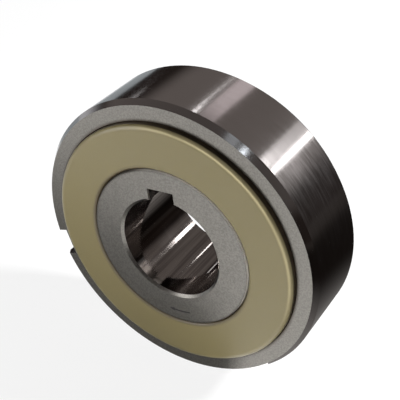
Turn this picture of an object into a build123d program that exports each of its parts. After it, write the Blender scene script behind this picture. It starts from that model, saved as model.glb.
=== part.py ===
"""Sprag clutch with a keyed bore and a notched outer ring.

The clutch's axis lies along Y and the origin is the middle of its bore. The front face looks
towards -Y, +Z is up, and angles are counted counter-clockwise from +X as seen from the front.
All sizes are in millimetres.
"""
import math
import os

from build123d import *

os.makedirs("parts", exist_ok=True)

# Bore, walls and widths
bore_diameter = 30.0
inner_ring_wall = 10.0
sprag_space = 8.33
outer_ring_wall = 9.17
outer_ring_width = 24.0
proud_height = 2.0

# Keyed bore, and the notch for the housing's key
bore_key_width = 8.0
bore_key_depth = 3.3
bore_key_angle = 97.4
housing_key_width = 8.0
housing_key_depth = 4.0
housing_key_angle = 200.7

# Edge breaks of the rings
lead_chamfer_length = 1.7
lead_chamfer_depth = 1.2
bore_chamfer = 0.7
journal_chamfer = 0.35
seat_chamfer = 0.3

# Cover rings: their seats in the outer ring, and the journals they run on
cover_seat_depth = 3.0
rim_width = 5.8
seat_clearance = 0.02
journal_step = 0.8
journal_clearance = 0.05
shoulder_clearance = 0.2
cover_outer_round = 1.1
cover_bore_chamfer = 0.9

# Sprags: cam arcs, head, waist and the way they tilt to run free
sprag_count = 20
cam_offset = 0.3
cam_crossing = 0.16
contact_clearance = 0.04
head_width = 5.4
waist_width = 3.2
head_corner_round = 0.35
free_tilt = 6.0
first_sprag_angle = 90.0

# Cages
cage_thickness = 0.8
cage_standoff = 1.6
cage_running_clearance = 0.15
cage_end_clearance = 0.4
flange_thickness = 0.8
window_end_clearance = 0.3
window_side_clearance = 0.15

# Ribbon spring
ribbon_thickness = 0.3
ribbon_end_clearance = 0.5
tongue_length = 5.0
tongue_clearance = 0.2
tongue_headroom = 0.4

# Radii and heights worked out from the driving sizes
bore_radius = bore_diameter / 2
inner_raceway_radius = bore_radius + inner_ring_wall
outer_raceway_radius = inner_raceway_radius + sprag_space
outer_radius = outer_raceway_radius + outer_ring_wall
journal_radius = inner_raceway_radius - journal_step
cover_bore_radius = journal_radius + journal_clearance
seat_radius = outer_radius - rim_width
cover_radius = seat_radius - seat_clearance

outer_half_width = outer_ring_width / 2
overall_half_width = outer_half_width + proud_height
chamber_half_width = outer_half_width - cover_seat_depth
shoulder_half_width = chamber_half_width - shoulder_clearance
cover_thickness = overall_half_width - chamber_half_width

cage_half_width = chamber_half_width - cage_end_clearance
ribbon_half_width = chamber_half_width - ribbon_end_clearance
sprag_half_length = cage_half_width - flange_thickness - window_end_clearance
window_half_length = sprag_half_length + window_end_clearance / 2
window_width = head_width + 2 * window_side_clearance

pivot_radius = (inner_raceway_radius + outer_raceway_radius) / 2


def cam_radius(raceway_radius, side):
    """Radius of a cam arc that just clears its raceway: side is 1 outside and -1 inside."""
    centre_radius = math.hypot(cam_offset, pivot_radius + side * cam_crossing)
    return side * (raceway_radius - centre_radius) - contact_clearance


outer_cam_radius = cam_radius(outer_raceway_radius, 1)
inner_cam_radius = cam_radius(inner_raceway_radius, -1)


def corner_height(radius, reach):
    """Height of a head's corner above the pivot, where it lies at a reach from the cam's centre."""
    return cam_crossing + math.sqrt(radius**2 - reach**2)


outer_left_corner = corner_height(outer_cam_radius, head_width / 2 - cam_offset)
outer_right_corner = corner_height(outer_cam_radius, head_width / 2 + cam_offset)
inner_left_corner = corner_height(inner_cam_radius, head_width / 2 + cam_offset)
inner_right_corner = corner_height(inner_cam_radius, head_width / 2 - cam_offset)
left_waist_height = (outer_left_corner - inner_left_corner) / 2
right_waist_height = (outer_right_corner - inner_right_corner) / 2


def left_flank(height):
    """How far the left flank's hollow arc stands from the sprag's middle at a height."""
    half_chord = (outer_left_corner + inner_left_corner) / 2
    hollow = (head_width - waist_width) / 2
    radius = (half_chord**2 + hollow**2) / (2 * hollow)
    return waist_width / 2 + radius - math.sqrt(radius**2 - (height - left_waist_height) ** 2)


def finish(part, name):
    """Label a finished piece and write it under its own name."""
    part.label = name
    export_step(part, f"parts/{name}.step")


# Outer ring: turned blank with a seat for a cover at each end and the raceway between them.
# The lead chamfers are longer than they are deep, and one notch runs the full width of the
# outside for the housing's key.
with BuildPart() as outer_ring:
    with BuildSketch(Plane.YZ):
        with BuildLine():
            Polyline(
                (-outer_half_width, seat_radius),
                (-chamber_half_width, seat_radius),
                (-chamber_half_width, outer_raceway_radius),
                (chamber_half_width, outer_raceway_radius),
                (chamber_half_width, seat_radius),
                (outer_half_width, seat_radius),
                (outer_half_width, outer_radius - lead_chamfer_depth),
                (outer_half_width - lead_chamfer_length, outer_radius),
                (-outer_half_width + lead_chamfer_length, outer_radius),
                (-outer_half_width, outer_radius - lead_chamfer_depth),
                close=True,
            )
        make_face()
    revolve(axis=Axis.Y)
    seat_mouths = outer_ring.edges().filter_by(
        lambda edge: edge.geom_type == GeomType.CIRCLE
        and math.isclose(edge.radius, seat_radius, abs_tol=seat_clearance)
        and math.isclose(abs(edge.center().Y), outer_half_width, abs_tol=seat_clearance)
    )
    chamfer(seat_mouths, seat_chamfer)
    with BuildSketch(Plane.XZ):
        with PolarLocations(outer_radius - housing_key_depth, 1, housing_key_angle):
            Rectangle(2 * housing_key_depth, housing_key_width, align=(Align.MIN, Align.CENTER))
    extrude(amount=outer_ring_width, both=True, mode=Mode.SUBTRACT)
finish(outer_ring.part, "outer_ring")

# Inner ring: raceway in the middle, a journal at each end for the covers, and the keyed bore.
with BuildPart() as inner_ring:
    with BuildSketch(Plane.YZ):
        with BuildLine():
            Polyline(
                (-overall_half_width, bore_radius),
                (overall_half_width, bore_radius),
                (overall_half_width, journal_radius),
                (shoulder_half_width, journal_radius),
                (shoulder_half_width, inner_raceway_radius),
                (-shoulder_half_width, inner_raceway_radius),
                (-shoulder_half_width, journal_radius),
                (-overall_half_width, journal_radius),
                close=True,
            )
        make_face()
    revolve(axis=Axis.Y)
    end_edges = inner_ring.edges().filter_by(GeomType.CIRCLE).filter_by(
        lambda edge: math.isclose(abs(edge.center().Y), overall_half_width)
    )
    bore_mouths = end_edges.group_by(SortBy.RADIUS)[0]
    journal_ends = end_edges.group_by(SortBy.RADIUS)[-1]
    chamfer(bore_mouths, bore_chamfer)
    chamfer(journal_ends, journal_chamfer)
    with BuildSketch(Plane.XZ):
        with PolarLocations(bore_radius + bore_key_depth, 1, bore_key_angle):
            Rectangle(bore_radius, bore_key_width, align=(Align.MAX, Align.CENTER))
    extrude(amount=2 * overall_half_width, both=True, mode=Mode.SUBTRACT)
finish(inner_ring.part, "inner_ring")


# Cover rings: one at each end, seated in the outer ring and running on the inner ring's journal.
def make_cover(name, side):
    """A cover ring: side is -1 for the front and 1 for the rear."""
    with BuildPart() as cover:
        with BuildSketch(Plane.XZ.offset(-side * chamber_half_width)):
            Circle(cover_radius)
            Circle(cover_bore_radius, mode=Mode.SUBTRACT)
        extrude(amount=-side * cover_thickness)
        face_edges = cover.edges().filter_by(GeomType.CIRCLE).filter_by(
            lambda edge: math.isclose(edge.center().Y, side * overall_half_width)
        )
        fillet(face_edges.group_by(SortBy.RADIUS)[-1], cover_outer_round)
        face_edges = cover.edges().filter_by(GeomType.CIRCLE).filter_by(
            lambda edge: math.isclose(edge.center().Y, side * overall_half_width)
        )
        chamfer(face_edges.group_by(SortBy.RADIUS)[0], cover_bore_chamfer)
    finish(cover.part, name)


make_cover("front_cover", -1)
make_cover("rear_cover", 1)


# Cages: a band with a flange at each end that keeps it centred on its raceway, and one window
# for each sprag.
def make_cage(name, raceway_radius, side):
    """A windowed cage: side is 1 for the cage at the outer raceway and -1 for the inner one."""
    near = raceway_radius - side * cage_standoff
    far = near - side * cage_thickness
    rim = raceway_radius - side * cage_running_clearance
    flange_inside = cage_half_width - flange_thickness
    with BuildPart() as cage:
        with BuildSketch(Plane.YZ):
            with BuildLine():
                Polyline(
                    (-cage_half_width, far),
                    (cage_half_width, far),
                    (cage_half_width, rim),
                    (flange_inside, rim),
                    (flange_inside, near),
                    (-flange_inside, near),
                    (-flange_inside, rim),
                    (-cage_half_width, rim),
                    close=True,
                )
            make_face()
        revolve(axis=Axis.Y)
        with BuildSketch(Plane.XZ):
            with PolarLocations((near + far) / 2, sprag_count, first_sprag_angle):
                Rectangle(2 * cage_thickness, window_width)
        extrude(amount=window_half_length, both=True, mode=Mode.SUBTRACT)
    finish(cage.part, name)


make_cage("outer_cage", outer_raceway_radius, 1)
make_cage("inner_cage", inner_raceway_radius, -1)

# Ribbon spring: a thin windowed band between the cages. One tongue stands up at the edge of each
# window and pushes its sprag's outer head towards the locked side.
tongue_top = outer_raceway_radius - cage_standoff - cage_thickness - tongue_headroom
tongue_height = tongue_top - pivot_radius
tongue_side = (
    left_flank(tongue_height) + tongue_height * math.sin(math.radians(free_tilt)) + tongue_clearance
)
with BuildPart() as ribbon_spring:
    with BuildSketch(Plane.XZ):
        Circle(pivot_radius + ribbon_thickness / 2)
        Circle(pivot_radius - ribbon_thickness / 2, mode=Mode.SUBTRACT)
    extrude(amount=ribbon_half_width, both=True)
    with BuildSketch(Plane.XZ):
        with PolarLocations(pivot_radius, sprag_count, first_sprag_angle):
            Rectangle(4 * ribbon_thickness, 2 * tongue_side)
    extrude(amount=window_half_length, both=True, mode=Mode.SUBTRACT)
    with BuildSketch(Plane.XZ):
        with PolarLocations(pivot_radius, sprag_count, first_sprag_angle):
            with Locations((-ribbon_thickness / 2, tongue_side)):
                Rectangle(
                    tongue_height + ribbon_thickness / 2,
                    ribbon_thickness,
                    align=(Align.MIN, Align.MIN),
                )
    extrude(amount=tongue_length / 2, both=True)
finish(ribbon_spring.part, "ribbon_spring")


# Sprags: two cam arcs whose centres stand a little to each side of the pivot, so that the sprag
# is tallest when it stands up and shorter when it tilts counter-clockwise, with a hollow waist.
def make_sprag(name, angle):
    """One sprag, standing radially at an angle, with its height along the plane's own y."""
    outward = Vector(math.cos(math.radians(angle)), 0, math.sin(math.radians(angle)))
    sideways = Vector(outward.Z, 0, -outward.X)
    stance = Plane(origin=outward * pivot_radius, x_dir=sideways, z_dir=(0, -1, 0))
    with BuildPart() as sprag:
        with BuildSketch(stance) as section:
            with BuildLine():
                outer_left = (-head_width / 2, outer_left_corner)
                outer_right = (head_width / 2, outer_right_corner)
                inner_right = (head_width / 2, -inner_right_corner)
                inner_left = (-head_width / 2, -inner_left_corner)
                outer_crown = (-cam_offset, cam_crossing + outer_cam_radius)
                inner_crown = (cam_offset, -cam_crossing - inner_cam_radius)
                ThreePointArc(outer_left, outer_crown, outer_right)
                ThreePointArc(outer_right, (waist_width / 2, right_waist_height), inner_right)
                ThreePointArc(inner_right, inner_crown, inner_left)
                ThreePointArc(inner_left, (-waist_width / 2, left_waist_height), outer_left)
            make_face()
            fillet(section.vertices(), head_corner_round)
        extrude(amount=sprag_half_length, both=True)
    finish(sprag.part, name)


for index in range(sprag_count):
    make_sprag(f"sprag_{index + 1:02d}", first_sprag_angle - index * 360 / sprag_count)
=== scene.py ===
"""Looks of the sprag clutch: the finish of every ring, cover, cage and sprag, and its studio.

The clutch stands on its rim, with its axis along Y, its front face towards -Y and +Z up. Sizes are
in millimetres and are turned into metres where a mesh or a lamp is made.
"""
import math

import bpy
import numpy as np
from mathutils import Matrix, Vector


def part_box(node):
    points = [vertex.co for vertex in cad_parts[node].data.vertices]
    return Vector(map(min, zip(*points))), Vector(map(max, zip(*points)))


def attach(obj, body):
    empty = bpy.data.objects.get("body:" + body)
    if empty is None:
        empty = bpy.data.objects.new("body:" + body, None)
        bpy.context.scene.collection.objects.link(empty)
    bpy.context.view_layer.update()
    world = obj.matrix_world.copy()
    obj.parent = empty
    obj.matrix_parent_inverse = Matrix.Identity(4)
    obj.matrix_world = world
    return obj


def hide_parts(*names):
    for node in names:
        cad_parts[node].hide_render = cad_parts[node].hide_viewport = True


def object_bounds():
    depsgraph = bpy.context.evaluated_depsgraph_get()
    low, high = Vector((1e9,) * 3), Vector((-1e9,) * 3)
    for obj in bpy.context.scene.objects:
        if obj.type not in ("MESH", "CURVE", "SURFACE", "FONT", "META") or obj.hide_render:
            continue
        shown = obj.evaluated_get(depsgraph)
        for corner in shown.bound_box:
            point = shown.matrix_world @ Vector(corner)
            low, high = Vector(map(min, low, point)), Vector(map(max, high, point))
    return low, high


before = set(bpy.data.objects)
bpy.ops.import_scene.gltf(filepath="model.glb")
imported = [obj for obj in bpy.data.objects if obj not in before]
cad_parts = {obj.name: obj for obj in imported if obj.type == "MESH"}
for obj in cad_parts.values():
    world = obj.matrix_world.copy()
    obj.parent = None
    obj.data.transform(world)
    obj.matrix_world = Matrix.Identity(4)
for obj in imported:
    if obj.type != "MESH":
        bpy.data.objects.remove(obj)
cad_low, cad_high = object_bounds()


# Outer ring: a turned and hardened bearing steel ring. Its outside is ground and polished round and
# round, the lead chamfers are turned bright, the end faces are lapped to an even matte grey with a
# painted shade in the corner by the cover, and the notch for the housing's key is milled right
# through.
metre = 1000
outer_ring_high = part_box("outer_ring")[1]
outer_ring_radius = outer_ring_high.z * metre
outer_ring_half_width = outer_ring_high.y * metre
lead_chamfer_length = 1.7
counterbore_radius = 36.68
zone_edge = 0.03
ground_skin = 0.1
chamfer_skin = 1.6
polished_steel = (0.55, 0.53, 0.52, 1)
polished_tint = (0.50, 0.46, 0.46, 1)
lapped_steel = (0.220, 0.209, 0.191, 1)
lapped_shade = (0.160, 0.153, 0.139, 1)
# Painted shade: the colour that the face darkens to in the corner by the cover.
painted_corner_shade = (0.055, 0.043, 0.033, 1)
corner_shade_reach = 1.3
milled_steel = (0.26, 0.245, 0.235, 1)
grind_roughness = 0.13
lapped_roughness = 0.3
milled_roughness = 0.24
rear_film = 0.5
grind_lines = (0.16, 1.8)
grind_line_detail = 4
outside_clouds = (0.09, 0.09)
lap_speckle = (2.4, 2.4)
lap_speckle_detail = 2
lap_speckle_band = (0.3, 0.7)
outside_unevenness = 0.08
line_relief = 0.5
speckle_relief = 0.6
outer_ring_bump = 0.12
fine_relief = 0.00002


class Level:
    """A socket of a material's nodes. Arithmetic on it adds the Math nodes that work it out."""

    def __init__(self, tree, socket=None):
        self.tree = tree
        self.socket = socket

    def node(self, kind, values, output=0, **settings):
        """Add a node: first its settings, then the values or links of its sockets."""
        made = self.tree.nodes.new(kind)
        for name, setting in settings.items():
            setattr(made, name, setting)
        for name, value in values.items():
            if isinstance(value, Level):
                self.tree.links.new(value.socket, made.inputs[name])
            else:
                made.inputs[name].default_value = value
        return Level(self.tree, made.outputs[output]) if made.outputs else self

    def math(self, operation, *others):
        """A Math node of this operation on this level and the others."""
        return self.node("ShaderNodeMath", dict(enumerate((self, *others))), operation=operation)

    def __add__(self, other):
        return self.math("ADD", other)

    __radd__ = __add__

    def __sub__(self, other):
        return self.math("SUBTRACT", other)

    def __rsub__(self, other):
        return self.node("ShaderNodeMath", {0: other, 1: self}, operation="SUBTRACT")

    def __mul__(self, other):
        return self.math("MULTIPLY", other)

    __rmul__ = __mul__

    def rises(self, low, high):
        """0 below low and 1 above high, with a smooth step between them."""
        limits = {"Value": self, "From Min": low, "From Max": high}
        return self.node("ShaderNodeMapRange", limits, interpolation_type="SMOOTHSTEP")

    def tint(self, first, second):
        """The first colour where this level is 0 and the second where it is 1."""
        colours = {"Factor": self, 6: first, 7: second}
        return self.node("ShaderNodeMix", colours, output=2, data_type="RGBA")


def new_finish(name):
    """A material with no nodes but the place on the piece, in millimetres."""
    material = bpy.data.materials.new(name)
    material.use_nodes = True
    material.node_tree.nodes.clear()
    place = Level(material.node_tree).node("ShaderNodeTexCoord", {}, output="Object")
    place = place.node("ShaderNodeVectorMath", {0: place, "Scale": metre}, operation="SCALE")
    return material, place


def axes_of(place):
    """The x, y and z of a place or a heading."""
    return [place.node("ShaderNodeSeparateXYZ", {0: place}, output=axis) for axis in range(3)]


def radius_of(x, z):
    """Distance from the clutch's axis: the root of x squared plus z squared."""
    squared = x * x + z * z
    return squared.math("SQRT")


def grain(place, cycles, detail=3):
    """Noise with so many cycles per millimetre around the axis and so many along it."""
    around, along = cycles
    stretch = {0: place, 1: (around, along, around)}
    stretched = place.node("ShaderNodeVectorMath", stretch, operation="MULTIPLY")
    return place.node("ShaderNodeTexNoise", {"Vector": stretched, "Scale": 1, "Detail": detail})


def uneven(noise, spread):
    """A change of roughness that follows the noise, half of the spread to either side of none."""
    return (noise - 0.5) * spread


def bumped(height, strength, distance):
    """The normal of a surface that stands up by the height times a distance in metres."""
    return height.node("ShaderNodeBump", {"Height": height, "Strength": strength, "Distance": distance})


def close(material, colour, **values):
    """End a material with its surface shader of this colour, and set that shader's other sockets."""
    sockets = {name.replace("_", " "): value for name, value in values.items()}
    sockets["Base Color"] = colour
    shaded = colour.node("ShaderNodeBsdfPrincipled", sockets, output="BSDF")
    shaded.node("ShaderNodeOutputMaterial", {"Surface": shaded})
    return material


def wear(material, *nodes):
    """Give CAD nodes a material."""
    for name in nodes:
        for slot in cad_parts[name].material_slots:
            slot.material = material


def lapped_face(place):
    """The fine speckle that lapping leaves, as a level and as the colour that it gives the face."""
    speckle = grain(place, lap_speckle, lap_speckle_detail).rises(*lap_speckle_band)
    return speckle, speckle.tint(lapped_shade, lapped_steel)


def shine(y, bright):
    """How metallic a ring is: all of it, less on its rear faces, under a dry protective film."""
    return 1 - y.rises(0, 1) * (1 - bright) * rear_film


def outer_ring_finish():
    """Ground outside, bright chamfers, lapped faces and a milled notch, told apart by their place."""
    material, place = new_finish("ground_ring_steel")
    x, y, z = axes_of(place)
    radius = radius_of(x, z)
    from_face = outer_ring_half_width - y.math("ABSOLUTE")
    off_face = from_face.rises(0, zone_edge)
    off_chamfer = from_face.rises(lead_chamfer_length - zone_edge, lead_chamfer_length)
    at_rim = radius.rises(outer_ring_radius - 2 * ground_skin, outer_ring_radius - ground_skin)
    chamfer_start = outer_ring_radius - chamfer_skin
    chamfer = radius.rises(chamfer_start, chamfer_start + zone_edge) * off_face * (1 - off_chamfer)
    bright = (at_rim * off_chamfer).math("MAXIMUM", chamfer)
    lines = grain(place, grind_lines, grind_line_detail)
    clouds = grain(place, outside_clouds)
    speckle, face = lapped_face(place)
    # Painted shade: the face darkens towards the corner by the cover.
    corner = 1 - radius.rises(counterbore_radius, counterbore_radius + corner_shade_reach)
    dull = off_face.tint(corner.tint(face, painted_corner_shade), milled_steel)
    colour = bright.tint(dull, clouds.tint(polished_steel, polished_tint))
    dull_roughness = lapped_roughness + off_face * (milled_roughness - lapped_roughness)
    bright_roughness = grind_roughness + uneven(lines, outside_unevenness)
    roughness = dull_roughness + bright * (bright_roughness - dull_roughness)
    height = lines * bright * line_relief + speckle * (1 - bright) * speckle_relief
    return close(
        material,
        colour,
        Metallic=shine(y, bright),
        Roughness=roughness + uneven(clouds, outside_unevenness),
        Normal=bumped(height, outer_ring_bump, fine_relief),
    )


wear(outer_ring_finish(), "outer_ring")


# Inner ring: the same steel, hardened. The bore is honed to a mirror, the keyway is broached, the
# raceway and the journals are ground, and the faces are lapped. A painted shade darkens the faces
# round the gap to the covers everywhere but at the upper right, where the edge is painted pale as
# a painted highlight.
inner_ring_half_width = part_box("inner_ring")[1].y * metre
bore_radius = 15.0
bore_skin = 0.05
edge_chamfer = 0.7
journal_radius = 24.2
journal_skin = 0.03
honed_steel = (0.42, 0.39, 0.37, 1)
honed_tint = (0.25, 0.225, 0.215, 1)
bore_roughness = 0.07
raceway_roughness = 0.14
key_floor_radius = 18.1
key_floor_skin = 0.2
key_floor_reach = 0.7
broached_steel = (0.42, 0.40, 0.38, 1)
broached_roughness = 0.55
# Painted shade: the keyway's walls are painted nearly black.
painted_key_wall_shade = (0.045, 0.040, 0.037, 1)
painted_gap_shade = (0.035, 0.027, 0.020, 1)
gap_shade_inner = 23.2
gap_shade_share = 0.75
lit_side = (7, 31)
journal_edge_inner = 23.87
# Painted highlight: the pale colour of the journal's edge at the upper right.
painted_edge_highlight = (0.80, 0.76, 0.70, 1)
edge_highlight_metal = 0.35
turning_lines = (0.06, 7)
honing_strokes = (0.8, 0.02)
honing_band = (0.34, 0.66)
pit_grain = (3, 3)
inner_clouds = (0.1, 0.1)
inner_unevenness = 0.06
stroke_relief = 0.2
pit_relief = 0.08
inner_ring_bump = 0.2


def gap_shaded_side(x, z):
    """How much painted shade falls round the gap of the cover: none at the upper right, all elsewhere."""
    return 1 - (x + z).rises(*lit_side)


def inner_ring_finish():
    """Honed bore, broached keyway, ground outside and lapped faces, told apart by their place."""
    material, place = new_finish("honed_ring_steel")
    x, y, z = axes_of(place)
    radius = radius_of(x, z)
    from_face = inner_ring_half_width - y.math("ABSOLUTE")
    off_face = from_face.rises(edge_chamfer - zone_edge, edge_chamfer)
    bore_end = bore_radius + bore_skin
    bore = (1 - radius.rises(bore_end, bore_end + zone_edge)) * off_face
    outside = radius.rises(journal_radius - journal_skin, journal_radius) * off_face
    bright = bore.math("MAXIMUM", outside)
    lines = grain(place, turning_lines)
    strokes = grain(place, honing_strokes).rises(*honing_band)
    pits = grain(place, pit_grain)
    clouds = grain(place, inner_clouds)
    speckle, face = lapped_face(place)
    key_floor_end = key_floor_radius + key_floor_reach
    key_floor = radius.rises(key_floor_radius - key_floor_skin, key_floor_radius)
    key_floor = key_floor * (1 - radius.rises(key_floor_end, key_floor_end + zone_edge))
    # Painted shade round the gap to the cover, left off at the upper right.
    gap_shaded = gap_shaded_side(x, z)
    gap_shade = radius.rises(gap_shade_inner, journal_radius) * gap_shaded * gap_shade_share
    # Painted highlight: the journal's edge at the upper right is painted pale and partly metallic.
    lit_journal_edge = radius.rises(journal_edge_inner, journal_edge_inner + zone_edge)
    lit_journal_edge = lit_journal_edge * (1 - off_face) * (1 - gap_shaded)
    face = lit_journal_edge.tint(gap_shade.tint(face, painted_gap_shade), painted_edge_highlight)
    # The keyway's walls take the painted shade, its floor the broached steel.
    dull = off_face.tint(face, key_floor.tint(painted_key_wall_shade, broached_steel))
    colour = bright.tint(dull, strokes.tint(honed_steel, honed_tint))
    dull_roughness = lapped_roughness + off_face * (milled_roughness - lapped_roughness)
    dull_roughness = dull_roughness + off_face * key_floor * (broached_roughness - milled_roughness)
    bright_roughness = bore_roughness + outside * (raceway_roughness - bore_roughness)
    bright_roughness = bright_roughness + uneven(lines, inner_unevenness)
    roughness = dull_roughness + bright * (bright_roughness - dull_roughness)
    height = strokes * stroke_relief + pits * pit_relief
    height = height * bright + speckle * (1 - bright) * speckle_relief
    return close(
        material,
        colour,
        Metallic=shine(y, bright) - lit_journal_edge * (1 - edge_highlight_metal),
        Roughness=roughness + uneven(clouds, inner_unevenness),
        Normal=bumped(height, inner_ring_bump, fine_relief),
    )


wear(inner_ring_finish(), "inner_ring")


# Direction arrow: a small arrow etched dark into the front face of the inner ring. It follows the
# ring round and points clockwise, the way in which the ring runs free.
arrow_radius = 20.7
arrow_tail_angle = -71.6
arrow_head_angle = -90.2
arrow_head_length = 1.6
arrow_shaft_width = 0.5
arrow_head_width = 1.25
arrow_tip_width = 0.01
arrow_shoulder = 0.0001
arrow_lift = 0.004
arrow_depth = 0.03
arrow_steps = 48
etched_black = (0.010, 0.009, 0.009, 1)
etched_grey = (0.030, 0.027, 0.028, 1)
etched_roughness = 0.6
etched_clouds = (3, 3)


def arrow_outline():
    """Half widths along the arrow's arc: the shaft's, then the head's, which falls evenly to a point."""
    length = math.radians(arrow_tail_angle - arrow_head_angle) * arrow_radius
    head_start = length - arrow_head_length
    travel = np.linspace(0, length, arrow_steps)
    travel = np.sort(np.append(travel, [head_start, head_start - arrow_shoulder]))
    left = length - travel
    head = np.maximum(arrow_head_width * left / arrow_head_length, arrow_tip_width)
    half = np.where(left > arrow_head_length, arrow_shaft_width, head) / 2
    return math.radians(arrow_tail_angle) - travel / arrow_radius, half


def grid_faces(rows, columns, rows_closed=False):
    """Four-cornered faces of a grid of points: its columns run round, and its rows if they are closed."""
    row_starts = np.arange(rows if rows_closed else rows - 1)
    row, column = np.meshgrid(row_starts, np.arange(columns), indexing="ij")
    next_row = (row + 1) % rows
    next_column = (column + 1) % columns
    corners = [
        row * columns + column,
        row * columns + next_column,
        next_row * columns + next_column,
        next_row * columns + column,
    ]
    return np.stack(corners, axis=-1).reshape(-1, 4).tolist()


def add_mesh(name, points, faces):
    """An object at the origin, with points in millimetres and the faces that join them."""
    mesh = bpy.data.meshes.new(name)
    mesh.from_pydata((np.reshape(points, (-1, 3)) / metre).tolist(), [], faces)
    thing = bpy.data.objects.new(name, mesh)
    bpy.context.scene.collection.objects.link(thing)
    return thing


def etched_arrow():
    """A shallow inlay: at each angle of the arc, a rectangle from the inner to the outer edge."""
    angle, half = arrow_outline()
    front = -inner_ring_half_width - arrow_lift
    back = front + arrow_depth
    corners = []
    for side, y in ((1, front), (-1, front), (-1, back), (1, back)):
        reach = arrow_radius + side * half
        across = [reach * np.cos(angle), np.full_like(angle, y), reach * np.sin(angle)]
        corners.append(np.stack(across, axis=-1))
    count, around = len(angle), len(corners)
    tail_cap = list(range(around))[::-1]
    head_cap = list(range((count - 1) * around, count * around))
    faces = grid_faces(count, around) + [tail_cap, head_cap]
    return add_mesh("direction_arrow", np.stack(corners, axis=1), faces)


def etched_finish():
    """Dark oxide in the etched line, a little uneven."""
    material, place = new_finish("etched_oxide")
    colour = grain(place, etched_clouds).tint(etched_black, etched_grey)
    return close(material, colour, Metallic=0, Roughness=etched_roughness)


arrow = etched_arrow()
arrow.data.materials.append(etched_finish())
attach(arrow, "inner_ring")


# Cover rings: one at each end, moulded in tan engineering plastic with a satin skin, pressed into the
# outer ring's counterbore and running on the inner ring's journal. Both edges of its face are
# rounded, which these rings show finer than the CAD nodes that they replace.
cover_low, cover_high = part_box("front_cover")
cover_radius = cover_high.z * metre
cover_face = -cover_low.y * metre
cover_thickness = (cover_high.y - cover_low.y) * metre
cover_bore_radius = 24.25
outer_round_width = 1.7
outer_round_depth = 1.1
inner_round_width = 0.9
inner_round_depth = 0.9
round_steps = 14
turn_steps = 240
flat_margin = 0.04
sharp_edge = 40.0
cover_tan = (0.264, 0.220, 0.102, 1)
cover_warm = (0.235, 0.193, 0.085, 1)
# Painted shade: the colour that the cover's edges darken to.
painted_cover_shade = (0.110, 0.082, 0.050, 1)
cover_middle_radius = 30.0
# Painted shade on the cover's bore edge: the depths of its rounding, and its reach and share beside the
# bore.
bore_shade_depths = (0.18, 0.60)
bore_shade_reach = 1.5
bore_shade_share = 0.85
rim_shade_depths = (0.72, 1.12)
# Painted highlight on the cover's rim: where it lies, its colour and how metallic it is.
highlight_side = (18, 44)
highlight_depth = 0.15
painted_rim_highlight = (0.46, 0.395, 0.22, 1)
highlight_metal = 0.4
cover_roughness = 0.30
cover_clouds = (0.07, 0.07)
cloud_share = 0.6
skin_grain = (2.6, 2.6)
skin_unevenness = 0.08
skin_bump = 0.12
skin_relief = 0.00003


def cover_profile():
    """The ring's section as radius and depth behind its face, from the back of the bore outwards.

    Each edge of the face is a quarter of an ellipse: radius by its sine and depth by its cosine.
    """
    turn = np.linspace(0, math.pi / 2, round_steps)
    bore_edge = cover_bore_radius + inner_round_width
    rim_edge = cover_radius - outer_round_width
    radius = np.concatenate([
        [cover_bore_radius],
        bore_edge - inner_round_width * np.cos(turn),
        [bore_edge + flat_margin, rim_edge - flat_margin],
        rim_edge + outer_round_width * np.sin(turn),
        [cover_radius],
    ])
    depth = np.concatenate([
        [cover_thickness],
        inner_round_depth * (1 - np.sin(turn)),
        [0, 0],
        outer_round_depth * (1 - np.cos(turn)),
        [cover_thickness],
    ])
    return radius, depth


def turned_ring(name, radius, y):
    """A closed section turned about Y: x and z are the radius by the cosine and sine of the turn."""
    turn = np.linspace(0, 2 * math.pi, turn_steps, endpoint=False)[:, None]
    level = np.broadcast_to(y, (turn_steps, len(y)))
    points = np.stack([radius * np.cos(turn), level, radius * np.sin(turn)], axis=-1)
    ring = add_mesh(name, points, grid_faces(turn_steps, len(y), rows_closed=True))
    ring.data.shade_smooth()
    ring.data.set_sharp_from_angle(angle=math.radians(sharp_edge))
    return ring


def cover_finish():
    """Satin moulding: slow warmer patches, fine grain, painted shade on its edges and a painted highlight
    on the rim at the upper right.
    """
    material, place = new_finish("tan_moulding")
    x, y, z = axes_of(place)
    radius = radius_of(x, z)
    clouds = grain(place, cover_clouds)
    skin = grain(place, skin_grain)
    depth = cover_face - y.math("ABSOLUTE")
    at_rim = radius.rises(cover_middle_radius, cover_middle_radius + 1)
    # Painted highlight: the rim's rounding at the upper right is painted paler and partly metallic.
    rim_highlight = at_rim * depth.rises(0, highlight_depth) * (x + z).rises(*highlight_side)
    # Painted shade on the rounding of the bore's edge, and beside the bore except at the upper right.
    bore_gap_shade = 1 - radius.rises(cover_bore_radius, cover_bore_radius + bore_shade_reach)
    bore_gap_shade = bore_gap_shade * gap_shaded_side(x, z) * bore_shade_share
    bore_shade = depth.rises(*bore_shade_depths).math("MAXIMUM", bore_gap_shade)
    # Painted shade deep on the outer rounding and its wall, and on the bore's edge.
    painted_shade = bore_shade + at_rim * (depth.rises(*rim_shade_depths) - bore_shade)
    warmer = clouds * cloud_share + skin * (1 - cloud_share)
    clean = warmer.tint(cover_tan, cover_warm)
    return close(
        material,
        painted_shade.tint(rim_highlight.tint(clean, painted_rim_highlight), painted_cover_shade),
        Metallic=rim_highlight * highlight_metal,
        Roughness=cover_roughness + uneven(skin, skin_unevenness),
        Normal=bumped(skin, skin_bump, skin_relief),
    )


cover_material = cover_finish()
section_radius, section_depth = cover_profile()
front_ring = turned_ring("front_cover_ring", section_radius, section_depth - cover_face)
rear_ring = turned_ring("rear_cover_ring", section_radius[::-1], (cover_face - section_depth)[::-1])
for ring, node in ((front_ring, "front_cover"), (rear_ring, "rear_cover")):
    ring.data.materials.append(cover_material)
    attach(ring, "housing_side")
    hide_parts(node)


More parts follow.
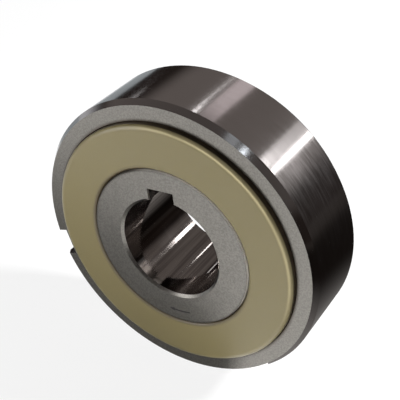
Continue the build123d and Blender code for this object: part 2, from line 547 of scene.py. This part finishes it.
# Cages: two bands pressed from mild steel sheet, with a window punched for every sprag. Phosphate
# leaves them a dull dark grey, and running brightens their flanges.
cage_grey = (0.21, 0.21, 0.215, 1)
cage_bright = (0.40, 0.40, 0.41, 1)
cage_roughness = 0.38
cage_patches = (0.3, 0.3)
cage_patch_detail = 4
rubbed_band = (0.45, 0.75)
rubbed_gloss = 0.08
rolling_lines = (0.2, 5)
rolling_unevenness = 0.2
cage_bump = 0.2
sheet_relief = 0.00003


def cage_finish():
    """Phosphated sheet: mottled grey with bright rubbed patches."""
    material, place = new_finish("phosphated_sheet")
    rubbed = grain(place, cage_patches, cage_patch_detail).rises(*rubbed_band)
    rolled = grain(place, rolling_lines)
    return close(
        material,
        rubbed.tint(cage_grey, cage_bright),
        Metallic=1,
        Roughness=cage_roughness + uneven(rolled, rolling_unevenness) - rubbed * rubbed_gloss,
        Normal=bumped(rolled, cage_bump, sheet_relief),
    )


wear(cage_finish(), "outer_cage", "inner_cage")


# Ribbon spring: a strip of hardened spring steel, formed into a band with a tongue at each window.
# Tempering leaves a blue to straw film on it.
temper_blue = (0.10, 0.13, 0.24, 1)
temper_straw = (0.36, 0.27, 0.15, 1)
temper_bands = (0.12, 0.12)
temper_change = (0.4, 0.66)
ribbon_roughness = 0.26
strip_lines = (0.2, 8)
strip_unevenness = 0.15
strip_bump = 0.15


def ribbon_finish():
    """Temper colours in slow bands along the strip, with a fine rolled grain."""
    material, place = new_finish("tempered_strip")
    rolled = grain(place, strip_lines)
    return close(
        material,
        grain(place, temper_bands).rises(*temper_change).tint(temper_blue, temper_straw),
        Metallic=1,
        Roughness=ribbon_roughness + uneven(rolled, strip_unevenness),
        Normal=bumped(rolled, strip_bump, fine_relief),
    )


wear(ribbon_finish(), "ribbon_spring")


# Sprags: wedges of hardened bearing steel, drawn to their figure-eight section, cut to length and
# then tumbled until the cam faces shine.
sprag_bright = (0.50, 0.49, 0.48, 1)
sprag_oiled = (0.36, 0.34, 0.31, 1)
sprag_roughness = 0.2
die_lines = (5, 0.1)
die_line_relief = 0.5
die_unevenness = 0.14
dent_grain = (1.3, 1.3)
oiled_dents = (0.4, 0.7)
sprag_bump = 0.15
dent_relief = 0.00003


def sprag_finish():
    """Tumbled steel: lines of the drawing die along the axis, under small dents and oil."""
    material, place = new_finish("tumbled_steel")
    drawn = grain(place, die_lines)
    dents = grain(place, dent_grain)
    return close(
        material,
        dents.rises(*oiled_dents).tint(sprag_bright, sprag_oiled),
        Metallic=1,
        Roughness=sprag_roughness + uneven(drawn, die_unevenness),
        Normal=bumped(drawn * die_line_relief + dents, sprag_bump, dent_relief),
    )


wear(sprag_finish(), *[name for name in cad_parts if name.startswith("sprag_")])


# Floor: a sheet of pale card under the clutch and far past the camera's view. Only reflections see
# what lies on it: a black cloth to the right behind the clutch and a grey card to the left.
floor_reach = 4000
floor_white = (0.88, 0.88, 0.88, 1)
floor_bounce = (0.6, 0.6, 0.6, 1)
floor_glow_seen = 0.86
floor_glow_reflected = 0.1
pure_white = (1, 1, 1, 1)
sheet_lift = 0.5
cloth_azimuth = 54.0
cloth_near_edge = 20
cloth_reach = 2000
cloth_dark_edge = 110
cloth_pale = (0.26, 0.25, 0.24, 1)
cloth_black = (0.008, 0.006, 0.005, 1)
cloth_grey = (0.034, 0.029, 0.026, 1)
cloth_grey_band = (190, 380)
card_right_edge = -100
card_front_edge = -20
card_reach = 2000
card_fade = 85
card_white = (1.25, 1.26, 1.27, 1)
card_grey = (0.33, 0.36, 0.375, 1)


def flat_sheet(name, corners, material):
    """One face through the corners, facing up when they run counter-clockwise from above."""
    sheet = add_mesh(name, corners, [tuple(range(len(corners)))])
    sheet.data.materials.append(material)
    return sheet


def only_reflected(thing):
    """Leave a thing out of everything but reflections."""
    thing.visible_camera = False
    thing.visible_diffuse = False
    thing.visible_transmission = False
    thing.visible_shadow = False


def met_by(start, kind):
    """1 where a surface is met by this kind of ray and 0 elsewhere."""
    return start.node("ShaderNodeLightPath", {}, output=kind)


def glow(start, colour):
    """Light of this colour, as bright as it is written."""
    return start.node("ShaderNodeEmission", {"Color": colour, "Strength": 1})


def mixed(share, first, second):
    """The first shader where the share is 0 and the second where it is 1."""
    return first.node("ShaderNodeMixShader", {0: share, 1: first, 2: second})


def end_with(material, shader):
    """Make the shader the material's surface."""
    shader.node("ShaderNodeOutputMaterial", {"Surface": shader})
    return material


def floor_finish():
    """Matte card, white to the eye and dimmer in the light that it throws back on the clutch."""
    material, place = new_finish("pale_card")
    white = place.node("ShaderNodeBsdfDiffuse", {"Color": floor_white})
    dim = place.node("ShaderNodeBsdfDiffuse", {"Color": floor_bounce})
    card = mixed(met_by(place, "Is Diffuse Ray"), white, dim)
    seen = met_by(place, "Is Camera Ray").math("MAXIMUM", met_by(place, "Is Transmission Ray"))
    share = seen * floor_glow_seen + met_by(place, "Is Glossy Ray") * floor_glow_reflected
    return end_with(material, mixed(share, card, glow(place, pure_white)))


def cloth_finish():
    """From pale near the clutch to black, and grey far off, by the distance along its azimuth."""
    material, place = new_finish("black_cloth")
    x, y, _ = axes_of(place)
    turn = math.radians(cloth_azimuth)
    along = x * math.sin(turn) + y * math.cos(turn)
    pale = 1 - along.rises(cloth_near_edge, cloth_dark_edge)
    far = along.rises(*cloth_grey_band).tint(cloth_black, cloth_grey)
    return end_with(material, mixed(1 - pale * pale, glow(place, cloth_pale), glow(place, far)))


def card_finish():
    """From white at the edge near the clutch to a bluish grey, by the distance to the left."""
    material, place = new_finish("grey_card")
    x = axes_of(place)[0]
    far = 1 - x.rises(card_right_edge - card_fade, card_right_edge)
    return end_with(material, mixed(far, glow(place, card_white), glow(place, card_grey)))


floor_level = cad_low.z * metre
sheet_level = floor_level + sheet_lift
floor_corners = [
    (-floor_reach, -floor_reach, floor_level),
    (floor_reach, -floor_reach, floor_level),
    (floor_reach, floor_reach, floor_level),
    (-floor_reach, floor_reach, floor_level),
]
flat_sheet("floor", floor_corners, floor_finish())

cloth_turn = math.radians(cloth_azimuth)
cloth_out = np.array([math.sin(cloth_turn), math.cos(cloth_turn), 0])
cloth_side = cloth_reach * np.array([cloth_out[1], -cloth_out[0], 0])
cloth_near = cloth_near_edge * cloth_out + (0, 0, sheet_level)
cloth_far = cloth_reach * cloth_out + (0, 0, sheet_level)
cloth_corners = [
    cloth_near - cloth_side,
    cloth_near + cloth_side,
    cloth_far + cloth_side,
    cloth_far - cloth_side,
]
only_reflected(flat_sheet("cloth", cloth_corners, cloth_finish()))

card_corners = [
    (card_right_edge - card_reach, card_front_edge, sheet_level),
    (card_right_edge, card_front_edge, sheet_level),
    (card_right_edge, card_front_edge + card_reach, sheet_level),
    (card_right_edge - card_reach, card_front_edge + card_reach, sheet_level),
]
only_reflected(flat_sheet("card", card_corners, card_finish()))


# Room: plain soft light from all round, white to the camera. Only reflections see its walls, which
# are dim overhead, darker in front and low down, and pale low on the left.
room_level = 0.03
shell_radius = 800
shell_rows = 24
shell_columns = 48
shell_dim = (0.165, 0.146, 0.136, 1)
shell_dark = (0.018, 0.013, 0.011, 1)
shell_front = (0.085, 0.075, 0.07, 1)
shell_pale = (0.55, 0.56, 0.58, 1)
low_band = (0.2, 0.42)
front_band = (-0.4, 0.3)
left_lean = 0.5
left_band = (0.55, 0.85)
left_top = (0.02, 0.3)


def room_shell():
    """A sphere that faces inwards: rows of latitude from the top down, columns of longitude."""
    rise = np.linspace(math.pi / 2, -math.pi / 2, shell_rows + 1)[:, None]
    turn = np.linspace(0, 2 * math.pi, shell_columns, endpoint=False)[None, :]
    height = np.broadcast_to(np.sin(rise), (shell_rows + 1, shell_columns))
    points = np.stack([np.cos(rise) * np.cos(turn), np.cos(rise) * np.sin(turn), height], axis=-1)
    shell = add_mesh("room_shell", shell_radius * points, grid_faces(shell_rows + 1, shell_columns))
    return shell


def shell_finish():
    """Dim at the back, dimmer in front, dark low down, and pale low down on the left."""
    material, place = new_finish("room_walls")
    heading = place.node("ShaderNodeVectorMath", {0: place}, operation="NORMALIZE")
    x, y, z = axes_of(heading)
    left = (0 - x - y * left_lean).rises(*left_band) * (1 - z.rises(*left_top))
    walls = mixed(1 - y.rises(*front_band), glow(place, shell_dim), glow(place, shell_front))
    walls = mixed(1 - z.rises(*low_band), walls, glow(place, shell_dark))
    return end_with(material, mixed(left, walls, glow(place, shell_pale)))


shell = room_shell()
shell.data.materials.append(shell_finish())
only_reflected(shell)

world = bpy.data.worlds.new("room")
bpy.context.scene.world = world
world.use_nodes = True
background = world.node_tree.nodes["Background"]
background.inputs["Color"].default_value = pure_white
air = Level(world.node_tree)
seen = met_by(air, "Is Camera Ray").math("MAXIMUM", met_by(air, "Is Transmission Ray"))
seen = seen.math("MAXIMUM", met_by(air, "Is Glossy Ray"))
brightness = seen * (1 - room_level) + room_level
world.node_tree.links.new(brightness.socket, background.inputs["Strength"])


# Lamps: a key lamp behind on the right throws the shadow forwards and to the left, a near box on the
# left fills the faces, one in front lights the cover's rounding, and strips give the polished steel
# its bright lines. Each lies between two headings: an angle around the clutch's axis and one away.
lamp_distance = 0.7
fill_distance = 0.2
blue_white = (0.82, 0.93, 1)
rose_white = (1, 0.90, 0.93)


def toward(around, away):
    """Unit vector: around the axis from +X to +Z, and away from +Y, both in degrees."""
    turn = math.radians(around)
    lean = math.radians(away)
    return np.array([math.cos(turn) * math.sin(lean), math.cos(lean), math.sin(turn) * math.sin(lean)])


def set_axes(thing, right, up, back, middle):
    """Stand a lamp or camera at its middle, with its own x, y and z along three unit vectors."""
    columns = [(*axis, 0) for axis in (right, up, back)] + [(*middle, 1)]
    thing.matrix_world = Matrix(columns).transposed()


def soft_box(name, start, end, width, radiance, colour=(1, 1, 1), distance=lamp_distance):
    """A lamp that faces the clutch, from one heading to another and as wide as an angle.

    Headings are pairs of degrees around and away. Radiance is in units where 1 shows as white.
    """
    first = toward(*start)
    last = toward(*end)
    back = first + last
    back /= np.linalg.norm(back)
    up = last - first
    length = np.linalg.norm(up)
    up /= length
    lamp = bpy.data.lights.new(name, "AREA")
    lamp.shape = "RECTANGLE"
    lamp.size = 2 * distance * math.tan(math.radians(width / 2))
    lamp.size_y = distance * length
    lamp.energy = radiance * math.pi * lamp.size * lamp.size_y
    lamp.color = colour
    box = bpy.data.objects.new(name, lamp)
    bpy.context.scene.collection.objects.link(box)
    set_axes(box, np.cross(up, back), up, back, distance * back)
    box.visible_camera = False


soft_box("key_box", start=(39.8, 60), end=(39.8, 70), width=10, radiance=290)
soft_box("fill_box", start=(162, 118), end=(162, 148), width=30, radiance=3.7, distance=fill_distance)
soft_box("rim_box", start=(-11, 154.7), end=(140, 152), width=20, radiance=2.6)
soft_box("white_strip", start=(43.3, 36), end=(43.3, 45.3), width=2.6, radiance=5.5)
soft_box("white_end", start=(51.5, 46), end=(51.5, 48.3), width=6, radiance=9)
soft_box("glow_strip", start=(51.5, 36), end=(51.5, 45), width=6.5, radiance=0.5)
soft_box("rose_strip", start=(104.5, 36), end=(104.5, 45), width=9, radiance=0.6, colour=rose_white)
soft_box("thin_strip", start=(115.5, 36), end=(115.5, 45), width=0.9, radiance=1.1)
soft_box("thin_end", start=(113.5, 45.5), end=(113.5, 48.2), width=1.2, radiance=8)
soft_box("left_strip", start=(164, 47.2), end=(164, 49.6), width=2.2, radiance=1.5)
soft_box("glint_box", start=(66, 112), end=(66, 118), width=3, radiance=6, colour=blue_white)
soft_box("blue_box", start=(76, 107), end=(76, 117), width=8, radiance=0.35, colour=blue_white)


# Camera: it stands in front, to the right and above, where the photograph was taken from. Its place
# is in metres, and its look is the direction of its axis.
camera_place = (0.10329, -0.16526, 0.14777)
camera_look = (-0.42682, 0.69082, -0.5835)
lens_length = 79.26
film_width = 36
upright = (0, 0, 1)

camera_data = bpy.data.cameras.new("camera")
camera_data.lens = lens_length
camera_data.sensor_width = film_width
camera = bpy.data.objects.new("camera", camera_data)
bpy.context.scene.collection.objects.link(camera)
look = np.array(camera_look) / np.linalg.norm(camera_look)
look_right = np.cross(look, upright)
look_right /= np.linalg.norm(look_right)
set_axes(camera, look_right, np.cross(look_right, look), -look, camera_place)
bpy.context.scene.camera = camera
bpy.context.scene.view_settings.view_transform = "Standard"
